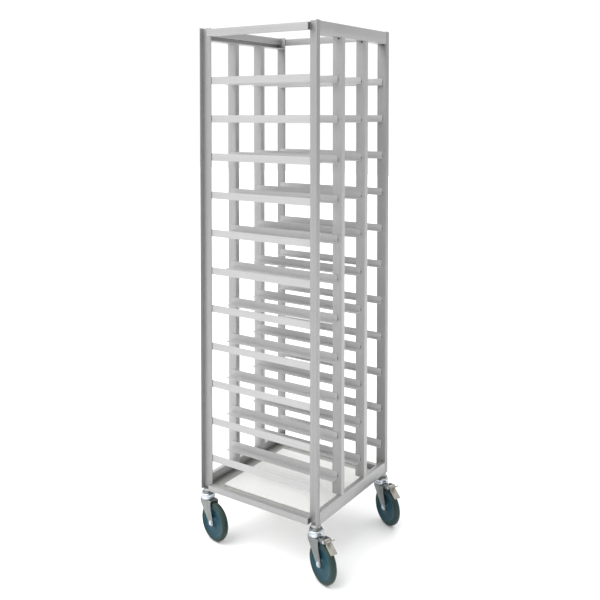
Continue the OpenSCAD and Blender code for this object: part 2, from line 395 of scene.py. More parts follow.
@dataclass(frozen=True)
class Aluminium(Finish):
    """Mill aluminium, with drawing lines along one axis of the rack."""

    light: Colour
    dark: Colour
    grain: Along
    roughness: float = 0.46
    metallic: float = 0.55
    scuffs: float = 0.35

    def build(self, effects: SharedEffects) -> bpy.types.Material:
        """Builds the material.

        Args:
            effects: The shared node groups.

        Returns:
            The material.
        """
        material, graph, shader = self.start()
        place = graph.object_coordinates()
        stretch = [1.0, 1.0, 1.0]
        stretch[self.grain.value] = 0.012
        lines = effects.place(graph, effects.lines, graph.scaled(place, stretch), Contrast=1.2)
        marks = effects.place(graph, effects.marks, place, Amount=self.scuffs)
        tone = graph.calculate(
            "ADD",
            graph.calculate("MULTIPLY", marks.outputs["Cloud"], 0.55),
            graph.calculate("MULTIPLY", lines.outputs["Streaks"], 0.45),
        )
        body = graph.blend(tone, self.dark, self.light)
        scuffed = tuple(min(1.0, c * 1.12) for c in self.light)
        graph.join(
            graph.blend(marks.outputs["Scuffs"], body, scuffed), shader.inputs["Base Color"]
        )
        rough = graph.remap(
            lines.outputs["Streaks"], (0.0, 1.0), (self.roughness + 0.06, self.roughness - 0.05)
        )
        graph.join(
            graph.calculate(
                "ADD", rough, graph.calculate("MULTIPLY", marks.outputs["Scuffs"], 0.12)
            ),
            shader.inputs["Roughness"],
        )
        shader.inputs["Metallic"].default_value = self.metallic
        graph.join(
            graph.bump(lines.outputs["Lines"], 0.22, 0.00012), shader.inputs["Normal"]
        )
        return material


@dataclass(frozen=True)
class Plated(Finish):
    """Zinc plate on a pressing or fastener: cloudy, with faint crystal edges."""

    light: Colour
    dark: Colour
    roughness: float
    dust: float = 0.25

    def build(self, effects: SharedEffects) -> bpy.types.Material:
        """Builds the material.

        Args:
            effects: The shared node groups.

        Returns:
            The material.
        """
        material, graph, shader = self.start()
        place = graph.object_coordinates()
        marks = effects.place(graph, effects.marks, place, Amount=0.4)
        dust = effects.place(graph, effects.dust, place, Amount=self.dust)
        cells = graph.add("TexVoronoi")
        cells.inputs["Scale"].default_value = 170.0
        graph.join(place, cells.inputs["Vector"])
        crystal = graph.remap(cells.outputs["Distance"], (0.1, 0.7), (0.0, 1.0))
        tone = graph.calculate(
            "ADD",
            graph.calculate("MULTIPLY", marks.outputs["Cloud"], 0.6),
            graph.calculate("MULTIPLY", crystal, 0.4),
        )
        plated = graph.blend(tone, self.dark, self.light)
        graph.join(
            graph.blend(dust.outputs["Dust"], plated, (0.34, 0.33, 0.30)),
            shader.inputs["Base Color"],
        )
        graph.join(
            graph.calculate(
                "ADD",
                graph.remap(tone, (0.0, 1.0), (self.roughness + 0.05, self.roughness - 0.04)),
                graph.calculate("MULTIPLY", dust.outputs["Dust"], 0.35),
            ),
            shader.inputs["Roughness"],
        )
        shader.inputs["Metallic"].default_value = 1.0
        fine = graph.noise(place, 2600.0, 2.0, 0.5)
        graph.join(graph.bump(fine, 0.12, 0.00008), shader.inputs["Normal"])
        return material


@dataclass(frozen=True)
class Moulded(Finish):
    """A moulded plastic or elastomer, with a fine skin grain, rubs and dust."""

    light: Colour
    dark: Colour
    roughness: float
    shine: float = 0.25
    dust: float = 0.2
    dust_colour: Colour = (0.30, 0.29, 0.26)

    def build(self, effects: SharedEffects) -> bpy.types.Material:
        """Builds the material.

        Args:
            effects: The shared node groups.

        Returns:
            The material.
        """
        material, graph, shader = self.start()
        place = graph.object_coordinates()
        marks = effects.place(graph, effects.marks, place, Amount=0.5)
        dust = effects.place(graph, effects.dust, place, Amount=self.dust)
        body = graph.blend(marks.outputs["Cloud"], self.dark, self.light)
        rubbed = graph.blend(
            graph.calculate("MULTIPLY", marks.outputs["Scuffs"], 0.5),
            body,
            tuple(min(1.0, c * 1.7 + 0.03) for c in self.light),
        )
        graph.join(
            graph.blend(dust.outputs["Dust"], rubbed, self.dust_colour),
            shader.inputs["Base Color"],
        )
        graph.join(
            graph.remap(
                graph.calculate("ADD", marks.outputs["Scuffs"], dust.outputs["Dust"]),
                (0.0, 1.0),
                (self.roughness, min(1.0, self.roughness + 0.3)),
            ),
            shader.inputs["Roughness"],
        )
        shader.inputs["Specular IOR Level"].default_value = self.shine
        grain = graph.noise(place, 3200.0, 2.0, 0.6)
        graph.join(graph.bump(grain, 0.15, 0.00006), shader.inputs["Normal"])
        return material


@dataclass(frozen=True)
class WeldBead(Finish):
    """Weld metal: rough, a little burnt, with fine ripples."""

    light: Colour
    dark: Colour

    def build(self, effects: SharedEffects) -> bpy.types.Material:
        """Builds the material.

        Args:
            effects: The shared node groups.

        Returns:
            The material.
        """
        material, graph, shader = self.start()
        place = graph.object_coordinates()
        marks = effects.place(graph, effects.marks, place, Amount=0.3)
        soot = graph.remap(graph.noise(place, 420.0, 3.0, 0.6), (0.35, 0.7), (0.0, 1.0))
        tone = graph.calculate("MULTIPLY", soot, marks.outputs["Cloud"])
        graph.join(graph.blend(tone, self.dark, self.light), shader.inputs["Base Color"])
        graph.join(graph.remap(soot, (0.0, 1.0), (0.62, 0.45)), shader.inputs["Roughness"])
        shader.inputs["Metallic"].default_value = 0.8
        graph.join(
            graph.bump(graph.noise(place, 1300.0, 2.0, 0.5), 0.4, 0.0002),
            shader.inputs["Normal"],
        )
        return material


class Finishes:
    """Every finish on the rack, built once."""

    def __init__(self) -> None:
        """Builds the shared effects and the materials."""
        effects = SharedEffects()
        corner = ((0.34, 0.34, 0.34), (0.295, 0.295, 0.295))
        post = ((0.42, 0.42, 0.42), (0.37, 0.37, 0.37))
        rail = ((0.42, 0.42, 0.42), (0.37, 0.37, 0.37))
        cross = ((0.45, 0.45, 0.45), (0.39, 0.39, 0.39))
        self.corner = Aluminium("aluminium_corner_upright", *corner, Along.Z).build(effects)
        self.upright = Aluminium("aluminium_upright", *post, Along.Z).build(effects)
        self.side_rail = Aluminium("aluminium_side_rail", *rail, Along.Y).build(effects)
        self.cross_rail = Aluminium("aluminium_cross_rail", *cross, Along.X).build(effects)
        self.low_cross_rail = Aluminium(
            "aluminium_low_cross_rail", (0.38, 0.38, 0.38), (0.32, 0.32, 0.32), Along.X
        ).build(effects)
        self.runner = Aluminium(
            "aluminium_runner", (0.45, 0.45, 0.45), (0.40, 0.40, 0.40), Along.X, metallic=0.2
        ).build(effects)
        # Painted shade: a separate, duller copy of the aluminium for the ledge tops beside the
        # tray, toned to stand in for the shade that lies in the recess there.
        self.ledge = Aluminium(
            "aluminium_ledge_painted_shade",
            (0.46, 0.46, 0.44),
            (0.37, 0.37, 0.35),
            Along.Y,
            roughness=0.6,
            metallic=0.3,
        ).build(effects)
        self.pan = Aluminium(
            "aluminium_floor_tray",
            (0.90, 0.90, 0.88),
            (0.84, 0.84, 0.82),
            Along.X,
            roughness=0.55,
            metallic=0.1,
            scuffs=0.6,
        ).build(effects)
        self.plug = Moulded(
            "moulded_rail_plug", (0.16, 0.16, 0.16), (0.11, 0.11, 0.11), 0.6
        ).build(effects)
        self.weld = WeldBead("weld_metal", (0.50, 0.50, 0.49), (0.30, 0.29, 0.28)).build(effects)
        # Painted shadow: nearly black weld metal for the dark spots under the right top rail and
        # at the runners' right ends, which stand in for the shadows there; the spot at the front
        # right corner post is partly a real weld mark.
        self.painted_shadow_weld = WeldBead(
            "burnt_weld_metal", (0.22, 0.22, 0.22), (0.10, 0.10, 0.10)
        ).build(effects)
        self.zinc = Plated(
            "zinc_pressing", (0.25, 0.265, 0.262), (0.17, 0.185, 0.183), 0.42
        ).build(effects)
        self.bright_zinc = Plated(
            "bright_zinc", (0.58, 0.62, 0.66), (0.42, 0.46, 0.50), 0.24, dust=0.12
        ).build(effects)
        self.pedal = Plated(
            "plated_pedal", (0.46, 0.445, 0.40), (0.37, 0.355, 0.315), 0.42, dust=0.3
        ).build(effects)
        self.core = Moulded(
            "moulded_wheel_core",
            (0.006, 0.056, 0.080),
            (0.004, 0.040, 0.060),
            0.4,
            shine=0.25,
            dust=0.12,
        ).build(effects)
        self.tread = Moulded(
            "moulded_tread",
            (0.022, 0.048, 0.043),
            (0.014, 0.032, 0.029),
            0.5,
            dust=0.14,
            dust_colour=(0.16, 0.16, 0.14),
        ).build(effects)


# ---------------------------------------------------------------------------
# Mesh building
# ---------------------------------------------------------------------------


@dataclass(frozen=True)
class Box:
    """A CAD node's box, in millimetres."""

    low: Vector
    high: Vector

    @staticmethod
    def of(node: str) -> "Box":
        """Reads a CAD node's box.

        Args:
            node: The node's name.

        Returns:
            Its box in millimetres.
        """
        low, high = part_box(node)
        return Box(low / MM, high / MM)

    @property
    def side(self) -> float:
        """The sign of X at its middle."""
        return math.copysign(1.0, self.low.x + self.high.x)

    @property
    def end(self) -> float:
        """The sign of Y at its middle."""
        return math.copysign(1.0, self.low.y + self.high.y)


class Solid:
    """A mesh under construction, in millimetres, shaped by bmesh operators."""

    def __init__(self) -> None:
        """Starts with an empty mesh."""
        self.mesh = bmesh.new()

    def block(self, low: Iterable[float], high: Iterable[float]) -> "Solid":
        """Adds a box between two corners.

        Args:
            low: One corner.
            high: The opposite one.

        Returns:
            This solid.
        """
        a, b = Vector(low), Vector(high)
        size = b - a
        matrix = Matrix.Translation((a + b) / 2) @ Matrix.Diagonal(
            (abs(size.x), abs(size.y), abs(size.z), 1.0)
        )
        bmesh.ops.create_cube(self.mesh, size=1.0, matrix=matrix)
        return self

    def prism(self, outline: list[Point2], along: Along, start: float, end: float) -> "Solid":
        """Adds an outline pulled along an axis.

        Args:
            outline: Its corners, on the two other axes in X, Y, Z order.
            along: The axis it is pulled along.
            start: Where it starts.
            end: Where it ends.

        Returns:
            This solid.
        """
        corners = []
        for first, second in outline:
            point = [first, second]
            point.insert(along.value, start)
            corners.append(self.mesh.verts.new(point))
        face = self.mesh.faces.new(corners)
        pull = Vector((0.0, 0.0, 0.0))
        pull[along.value] = end - start
        made = bmesh.ops.extrude_face_region(self.mesh, geom=[face], use_keep_orig=True)
        top = [g for g in made["geom"] if isinstance(g, bmesh.types.BMVert)]
        bmesh.ops.translate(self.mesh, vec=pull, verts=top)
        linked = set(corners) | set(top)
        faces = [f for f in self.mesh.faces if all(v in linked for v in f.verts)]
        bmesh.ops.recalc_face_normals(self.mesh, faces=faces)
        return self

    def turned(
        self, profile: list[Point2], centre: Vector, axis: Along, steps: int = 56
    ) -> "Solid":
        """Adds a closed profile spun about an axis.

        Args:
            profile: Radius and place along the axis, round the section.
            centre: A point on the axis, from which the places are measured.
            axis: The axis that it spins about.
            steps: The number of steps round it.

        Returns:
            This solid.
        """
        pole = Vector((0.0, 0.0, 0.0))
        pole[axis.value] = 1.0
        arm = Vector((0.0, 0.0, 0.0))
        arm[(axis.value + 2) % 3] = 1.0
        ring = [self.mesh.verts.new(centre + arm * r + pole * h) for r, h in profile]
        edges = [
            self.mesh.edges.new((ring[i], ring[(i + 1) % len(ring)])) for i in range(len(ring))
        ]
        before = set(self.mesh.faces)
        bmesh.ops.spin(
            self.mesh,
            geom=ring + edges,
            cent=centre,
            axis=pole,
            angle=math.tau,
            steps=steps,
            use_merge=True,
        )
        faces = [f for f in self.mesh.faces if f not in before]
        bmesh.ops.recalc_face_normals(self.mesh, faces=faces)
        return self

    def rod(
        self, centre: Vector, axis: Along, radius: float, length: float, sides: int = 32
    ) -> "Solid":
        """Adds a closed cylinder, or a hexagon with six sides.

        Args:
            centre: Its middle.
            axis: The axis that it runs along.
            radius: Its radius, out to its corners.
            length: Its length.
            sides: The number of sides.

        Returns:
            This solid.
        """
        turn = {
            Along.X: Matrix.Rotation(math.pi / 2, 4, "Y"),
            Along.Y: Matrix.Rotation(math.pi / 2, 4, "X"),
            Along.Z: Matrix.Identity(4),
        }[axis]
        bmesh.ops.create_cone(
            self.mesh,
            cap_ends=True,
            segments=sides,
            radius1=radius,
            radius2=radius,
            depth=length,
            matrix=Matrix.Translation(centre) @ turn,
        )
        return self

    def pellet(self, centre: Vector, radii: Iterable[float]) -> "Solid":
        """Adds a flattened ball.

        Args:
            centre: Its middle.
            radii: Its three radii.

        Returns:
            This solid.
        """
        matrix = Matrix.Translation(centre) @ Matrix.Diagonal((*radii, 1.0))
        bmesh.ops.create_icosphere(self.mesh, subdivisions=2, radius=1.0, matrix=matrix)
        return self

    def cut(self, point: Iterable[float], normal: Iterable[float]) -> "Solid":
        """Cuts new edges where a plane crosses the mesh.

        Args:
            point: A point on the plane.
            normal: The plane's normal.

        Returns:
            This solid.
        """
        everything = self.mesh.verts[:] + self.mesh.edges[:] + self.mesh.faces[:]
        bmesh.ops.bisect_plane(
            self.mesh, geom=everything, dist=1e-5, plane_co=Vector(point), plane_no=Vector(normal)
        )
        return self

    def pull(self, chosen: Callable[[bmesh.types.BMFace], bool], by: Iterable[float]) -> "Solid":
        """Extrudes the chosen faces and moves them.

        Args:
            chosen: Says whether a face is pulled.
            by: How far it moves.

        Returns:
            This solid.
        """
        self.mesh.normal_update()
        faces = [f for f in self.mesh.faces if chosen(f)]
        made = bmesh.ops.extrude_face_region(self.mesh, geom=faces)
        verts = [g for g in made["geom"] if isinstance(g, bmesh.types.BMVert)]
        bmesh.ops.delete(self.mesh, geom=faces, context="FACES")
        bmesh.ops.translate(self.mesh, vec=Vector(by), verts=verts)
        return self

    def hollow(
        self, chosen: Callable[[bmesh.types.BMFace], bool], wall: float, depth: float
    ) -> "Solid":
        """Sinks a recess into the chosen faces.

        Args:
            chosen: Says whether a face gets a recess.
            wall: The width left round it.
            depth: Its depth.

        Returns:
            This solid.
        """
        self.mesh.normal_update()
        faces = [f for f in self.mesh.faces if chosen(f)]
        for face in faces:
            bmesh.ops.inset_individual(
                self.mesh, faces=[face], thickness=wall, use_even_offset=True
            )
            normal = face.normal.copy()
            made = bmesh.ops.extrude_face_region(self.mesh, geom=[face])
            verts = [g for g in made["geom"] if isinstance(g, bmesh.types.BMVert)]
            bmesh.ops.delete(self.mesh, geom=[face], context="FACES")
            bmesh.ops.translate(self.mesh, vec=normal * -depth, verts=verts)
        return self

    def bevel(
        self,
        width: float,
        segments: int = 2,
        chosen: Optional[Callable[[bmesh.types.BMEdge], bool]] = None,
    ) -> "Solid":
        """Rounds edges.

        Args:
            width: The width of the rounding.
            segments: Its steps.
            chosen: Says whether an edge is rounded; every sharp one if None.

        Returns:
            This solid.
        """
        self.mesh.normal_update()
        sharp = [
            e for e in self.mesh.edges if len(e.link_faces) == 2 and e.calc_face_angle(0.0) > SHARP
        ]
        edges = [e for e in sharp if chosen is None or chosen(e)]
        bmesh.ops.bevel(
            self.mesh,
            geom=edges,
            offset=width,
            offset_type="OFFSET",
            segments=segments,
            profile=ROUND_PROFILE,
            affect="EDGES",
            clamp_overlap=True,
            material=NO_MATERIAL,
        )
        return self

    def mirror_y(self) -> "Solid":
        """Opens the half solid at Y = 0 and joins it to its mirror image.

        Returns:
            This solid.
        """
        self.mesh.normal_update()
        middle = [
            f
            for f in self.mesh.faces
            if f.normal.y < -FACING and abs(f.calc_center_median().y) < TOUCH
        ]
        bmesh.ops.delete(self.mesh, geom=middle, context="FACES")
        everything = self.mesh.verts[:] + self.mesh.edges[:] + self.mesh.faces[:]
        bmesh.ops.mirror(
            self.mesh, geom=everything, matrix=Matrix.Identity(4), merge_dist=TOUCH, axis="Y"
        )
        bmesh.ops.remove_doubles(self.mesh, verts=self.mesh.verts[:], dist=TOUCH)
        bmesh.ops.recalc_face_normals(self.mesh, faces=self.mesh.faces[:])
        return self

    def take(self, other: "Solid") -> "Solid":
        """Takes in another solid's mesh, which is then used up.

        Args:
            other: The other solid.

        Returns:
            This solid.
        """
        passed = bpy.data.meshes.new("passed")
        other.mesh.to_mesh(passed)
        other.mesh.free()
        self.mesh.from_mesh(passed)
        bpy.data.meshes.remove(passed)
        return self

    def move(self, matrix: Matrix) -> "Solid":
        """Moves the whole mesh by a matrix."""
        bmesh.ops.transform(self.mesh, matrix=matrix, verts=self.mesh.verts[:])
        return self

    def dress(self, chosen: Callable[[bmesh.types.BMFace], bool], index: int) -> "Solid":
        """Gives the chosen faces another of the piece's materials.

        Args:
            chosen: Says whether a face is dressed.
            index: The place of the material in the piece's list.

        Returns:
            This solid.
        """
        self.mesh.normal_update()
        for face in self.mesh.faces:
            if chosen(face):
                face.material_index = index
        return self

    def piece(
        self,
        name: str,
        body: str,
        slot: str,
        materials: Iterable[bpy.types.Material],
        replaces: Iterable[str] = (),
    ) -> bpy.types.Object:
        """Makes the finished object in metres, and ties it to its body.

        Args:
            name: The piece's name.
            body: The CAD body it rides on.
            slot: The record's material slot that it stands for; not used.
            materials: Its materials, the main one first.
            replaces: The CAD nodes that it stands for.

        Returns:
            The object.
        """
        self.move(Matrix.Scale(MM, 4))
        data = bpy.data.meshes.new(name)
        self.mesh.to_mesh(data)
        self.mesh.free()
        data.shade_smooth()
        data.set_sharp_from_angle(angle=SHARP)
        for material in materials:
            data.materials.append(material)
        made = bpy.data.objects.new(name, data)
        bpy.context.scene.collection.objects.link(made)
        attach(made, body)
        if replaces:
            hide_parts(*replaces)
        log.info("%s: %d faces on %s", name, len(data.polygons), body)
        return made


def faces_along(
    along: Along, sign: float, least_area: float = 0.0
) -> Callable[[bmesh.types.BMFace], bool]:
    """Says whether a face looks along an axis.

    Args:
        along: The axis.
        sign: The direction on it.
        least_area: The area it must have.

    Returns:
        The test.
    """
    return lambda face: (
        face.normal[along.value] * sign > FACING and face.calc_area() > least_area
    )


def upright_edges(edge: bmesh.types.BMEdge) -> bool:
    """Says whether an edge runs up and down."""
    run = edge.verts[1].co - edge.verts[0].co
    return abs(run.z) > FACING * run.length


def arc(centre: Point2, radius: float, degrees: Iterable[float]) -> list[Point2]:
    """Gives points on a circle.

    Args:
        centre: The circle's centre.
        radius: Its radius.
        degrees: The points' angles, from the first axis towards the second.

    Returns:
        The points.
    """
    turns = [math.radians(d) for d in degrees]
    return [
        (centre[0] + radius * math.cos(t), centre[1] + radius * math.sin(t)) for t in turns
    ]


def bar(start: Vector, end: Vector, thick: float) -> list[Point2]:
    """Gives the outline of a straight bar.

    Args:
        start: One end of its centre line.
        end: The other end.
        thick: Its thickness.

    Returns:
        Its four corners.
    """
    side = Vector((start.y - end.y, end.x - start.x)).normalized() * thick / 2
    return [tuple(p) for p in (start + side, start - side, end - side, end + side)]


# ---------------------------------------------------------------------------
# The frame
# ---------------------------------------------------------------------------


@dataclass
class SideRail:
    """A side rail: a closed box over a web, with an inward ledge."""

    node: str
    finishes: Finishes
    wall: float = 3.0
    box_width: float = 16.0
    box_height: float = 24.0
    corner: float = 0.9

    def build(self) -> None:
        """Builds the rail."""
        box = Box.of(self.node)
        outer = box.high.x if box.side > 0 else box.low.x
        width = box.high.x - box.low.x
        under = box.high.z - self.box_height
        section = [
            (0.0, box.low.z),
            (width, box.low.z),
            (width, box.low.z + self.wall),
            (self.wall, box.low.z + self.wall),
            (self.wall, under),
            (self.box_width, under),
            (self.box_width, box.high.z),
            (0.0, box.high.z),
        ]
        outline = [(outer - box.side * u, z) for u, z in section]
        solid = Solid().prism(outline, Along.Y, box.low.y, box.high.y).bevel(self.corner)
        floor_z = box.low.z + self.wall
        # Painted shade: on the bottom rails the ledge floor takes the ledge material, which stands
        # in for the shade in the recess beside the tray.
        paints_ledge_shade = "bottom" in self.node
        solid.dress(
            lambda f: paints_ledge_shade
            and f.normal.z > 0.9
            and abs(f.calc_center_median().z - floor_z) < self.corner,
            1,
        )
        solid.piece(
            self.node + "_extrusion",
            ROOT,
            "frame",
            [self.finishes.side_rail, self.finishes.ledge],
            [self.node],
        )


@dataclass
class CrossRail:
    """A hollow rail across the rack; at the bottom it has a ledge."""

    node: str
    finishes: Finishes
    wall: float = 2.0
    depth: float = 17.0
    corner: float = 0.8
    recess: float = 5.0
    least_end: float = 100.0
    shelf: float = 2.0

    def build(self) -> None:
        """Builds the rail."""
        box = Box.of(self.node)
        outer = box.high.y if box.end > 0 else box.low.y
        inner = outer - box.end * self.depth
        low, high = box.low.copy(), box.high.copy()
        low.y, high.y = min(outer, inner), max(outer, inner)
        solid = Solid().block(low, high).bevel(self.corner, 3)
        for sign in (-1.0, 1.0):
            ends = faces_along(Along.X, sign, self.least_end)
            solid.hollow(ends, self.wall - self.corner, self.recess)
        reach = abs((box.high.y - box.low.y) - self.depth)
        if reach > 1.0:
            half = Box.of("bottom_rail_right").low.x
            rear = inner - box.end * reach
            floor = box.low.z
            ledge = Solid().block((-half, inner, floor), (half, rear, floor + self.shelf))
            # Painted shade: the ledge's top takes the ledge material, which stands in for the
            # shade between the rail and the tray.
            ledge.bevel(0.5).dress(faces_along(Along.Z, 1.0), 1)
            solid.take(ledge)
        top = self.node.startswith("top")
        finish = self.finishes.cross_rail if top else self.finishes.low_cross_rail
        solid.piece(
            self.node + "_tube", ROOT, "cross_rails", [finish, self.finishes.ledge], [self.node]
        )


@dataclass
class RailPlugs:
    """The dark plugs that close the cross rails' ends."""

    finishes: Finishes
    wall: float = 2.2
    depth: float = 3.0
    sunk: float = 1.2

    def build(self) -> None:
        """Builds all eight plugs as one piece."""
        solid = Solid()
        rail_depth = CrossRail.depth
        for node in ("top_rail_front", "top_rail_rear", "bottom_rail_front", "bottom_rail_rear"):
            box = Box.of(node)
            outer = box.high.y if box.end > 0 else box.low.y
            inner = outer - box.end * rail_depth
            low_y, high_y = min(outer, inner) + self.wall, max(outer, inner) - self.wall
            for side in Side:
                x = side.value * (box.high.x - self.sunk)
                solid.block(
                    (x - side.value * self.depth, low_y, box.low.z + self.wall),
                    (x, high_y, box.high.z - self.wall),
                )
        solid.bevel(0.8)
        solid.piece(
            "rail_plugs", ROOT, "plugs", [self.finishes.plug], ["rail_end_caps"]
        )


@dataclass
class CornerUpright:
    """A corner upright: an angle with a web and an outer side leg."""

    node: str
    finishes: Finishes
    wall: float = 3.0
    corner: float = 0.9

    def build(self) -> None:
        """Builds the upright."""
        box = Box.of(self.node)
        outer = box.high.x if box.side > 0 else box.low.x
        inner = box.low.x if box.side > 0 else box.high.x
        tip = box.low.y if box.end < 0 else box.high.y
        root = box.high.y if box.end < 0 else box.low.y
        if box.end > 0:
            web_back = root + self.wall
        else:
            web_back = root - self.wall
        leg = outer - box.side * self.wall
        outline = [
            (outer, tip),
            (leg, tip),
            (leg, web_back),
            (inner, web_back),
            (inner, root),
            (outer, root),
        ]
        solid = Solid().prism(outline, Along.Z, box.low.z, box.high.z).bevel(self.corner)
        solid.piece(
            self.node + "_angle", ROOT, "frame", [self.finishes.corner], [self.node]
        )


@dataclass
class TubeUpright:
    """A middle upright: a tube with rounded corners and open ends."""

    node: str
    finishes: Finishes
    wall: float = 2.0
    radius: float = 1.8
    depth: float = 30.0
    least_end: float = 100.0

    def build(self) -> None:
        """Builds the upright."""
        box = Box.of(self.node)
        solid = Solid().block(box.low, box.high)
        solid.bevel(self.radius, 3, upright_edges)
        for sign in (-1.0, 1.0):
            ends = faces_along(Along.Z, sign, self.least_end)
            solid.hollow(ends, self.wall, self.depth)
        solid.piece(
            self.node + "_tube", ROOT, "frame", [self.finishes.upright], [self.node]
        )


@dataclass
class FloorTray:
    """The pale tray on the bottom ledges, with folded edges."""

    finishes: Finishes
    corner: float = 5.0
    fold: float = 1.4
    wall: float = 2.0
    least_floor: float = 1000.0

    def build(self) -> None:
        """Builds the tray."""
        box = Box.of("bottom_pan")
        solid = Solid().block(box.low, box.high)
        solid.bevel(self.corner, 4, upright_edges)
        top = box.high.z
        solid.bevel(self.fold, 3, lambda e: all(abs(v.co.z - top) < TOUCH for v in e.verts))
        solid.hollow(faces_along(Along.Z, -1.0, self.least_floor), self.wall, self.wall)
        solid.piece(
            "floor_tray", ROOT, "pan", [self.finishes.pan], ["bottom_pan"]
        )


@dataclass
class Runner:
    """One runner: an upright strip with a ledge on one or both sides."""

    face_y: float
    top: float
    half: float
    front_ledge: float
    rear_ledge: float
    rear_half: float
    height: float = 24.0
    thickness: float = 2.5
    corner: float = 0.5

    def add_to(self, solid: Solid) -> None:
        """Adds the runner to a solid.

        Args:
            solid: The tier's solid.
        """
        strip = Solid()
        low = (-self.half, self.face_y - self.thickness, self.top - self.height)
        strip.block(low, (self.half, self.face_y, self.top))
        ledge_top = low[2] + self.thickness
        strip.cut((0.0, 0.0, ledge_top), (0.0, 0.0, 1.0))
        if self.front_ledge > 0.0:
            strip.pull(
                lambda f: f.normal.y < -FACING and f.calc_center_median().z < ledge_top,
                (0.0, self.thickness - self.front_ledge, 0.0),
            )
        if self.rear_ledge > 0.0:
            for sign in (-1.0, 1.0):
                strip.cut((sign * self.rear_half, 0.0, 0.0), (1.0, 0.0, 0.0))
            strip.pull(
                lambda f: f.normal.y > FACING
                and f.calc_center_median().z < ledge_top
                and abs(f.calc_center_median().x) < self.rear_half,
                (0.0, self.rear_ledge, 0.0),
            )
        strip.bevel(self.corner)
        solid.take(strip)


@dataclass
class RunnerTier:
    """The four runners of one tier."""

    node: str
    rows: list[float]
    finishes: Finishes
    front_ledge: float = 32.0
    rear_ledge: float = 18.0
    last_ledge: float = 14.0
    clear: float = 0.5

    def build(self) -> None:
        """Builds the tier."""
        box = Box.of(self.node)
        between = Box.of("upright_right_2").low.x - self.clear
        ledges = (
            (0.0, self.rear_ledge),
            (self.front_ledge, self.rear_ledge),
            (self.front_ledge, self.rear_ledge),
            (self.last_ledge, 0.0),
        )
        solid = Solid()
        for row, (front, rear) in zip(self.rows, ledges):
            Runner(row, box.high.z, box.high.x, front, rear, between).add_to(solid)
        solid.piece(
            self.node + "_runners", ROOT, "runners", [self.finishes.runner], [self.node]
        )


@dataclass
class Welds:
    """The weld beads that hold runners, uprights and rails together, and dark spots that paint the
    shadows under the right top rail and at the runners' right ends.
    """

    rows: list[float]
    finishes: Finishes
    bead: float = 1.5
    bead_rise: float = 8.0
    pellets: int = 7
    box_width: float = SideRail.box_width
    # Sizes of the dark spots that paint shadows: under the right top rail, and at the runners'
    # right ends.
    spot: tuple[float, float, float] = (4.6, 1.3, 4.2)
    end_spot: tuple[float, float, float] = (2.4, 1.6, 4.2)
    spot_insets: tuple[float, ...] = (9.0, 13.0, 13.0, 13.0)

    def _row(self, solid: Solid, start: Vector, end: Vector, radius: float) -> None:
        """Adds overlapping pellets in a row.

        Args:
            solid: The solid they are added to.
            start: The first pellet's middle.
            end: The last pellet's middle.
            radius: Their radius.
        """
        for step in range(self.pellets):
            centre = start.lerp(end, step / (self.pellets - 1))
            solid.pellet(centre, (radius, radius, radius))

    def runner_beads(self) -> None:
        """Builds the short beads at the runners' left ends."""
        solid = Solid()
        for tier in range(1, TIERS + 1):
            runners = Box.of(f"runner_tier_{tier:02d}")
            for row in self.rows[1:]:
                centre = Vector((runners.low.x, row - 0.2, runners.high.z - 12.0))
                solid.pellet(centre, (self.bead, self.bead, self.bead_rise))
        solid.piece("runner_welds", ROOT, "frame", [self.finishes.weld])

    def weld_and_shadow_spots(self) -> None:
        """Builds dark spots that paint the shadows under the right top rail and at the runners'
        right ends; the one at the front right corner post is partly a weld mark.
        """
        solid = Solid()
        rail = Box.of("top_rail_right")
        uprights = [Box.of(f"upright_right_{n}") for n in UPRIGHTS]
        faces = [uprights[0].high.y - CornerUpright.wall, *(u.low.y for u in uprights[1:])]
        for row, inset in zip(faces, self.spot_insets):
            centre = Vector((rail.high.x - inset, row, rail.low.z - 3.0))
            solid.pellet(centre, self.spot)
        for tier in range(1, TIERS + 1):
            runners = Box.of(f"runner_tier_{tier:02d}")
            for row in self.rows[1:]:
                centre = Vector((runners.high.x - 0.5, row, runners.high.z - 15.0))
                solid.pellet(centre, self.end_spot)
        solid.piece("weld_and_painted_shadow_spots", ROOT, "frame", [self.finishes.painted_shadow_weld])

    def rail_beads(self) -> None:
        """Builds the beads between the rails and the corner uprights."""
        solid = Solid()
        for node in ("top_rail_right", "top_rail_left", "bottom_rail_right", "bottom_rail_left"):
            box = Box.of(node)
            outer = box.high.x if box.side > 0 else box.low.x
            inner = outer - box.side * self.box_width
            for y in (box.low.y, box.high.y):
                self._row(
                    solid,
                    Vector((inner, y, box.high.z - 3.0)),
                    Vector((inner, y, box.high.z - 21.0)),
                    1.6,
                )
        for node in ("upright_right_1", "upright_left_1", "upright_right_4", "upright_left_4"):
            box = Box.of(node)
            edge = box.low.x if box.side > 0 else box.high.x
            for rail, end in (("top_rail_front", -1), ("top_rail_rear", 1)):
                if end != box.end:
                    continue
                tube = Box.of(rail)
                y = box.high.y - 3.0 if end < 0 else box.low.y + 3.0
                self._row(
                    solid,
                    Vector((edge, y, tube.low.z + 3.0)),
                    Vector((edge, y, tube.high.z - 3.0)),
                    1.4,
                )
        solid.piece("rail_welds", ROOT, "frame", [self.finishes.weld])


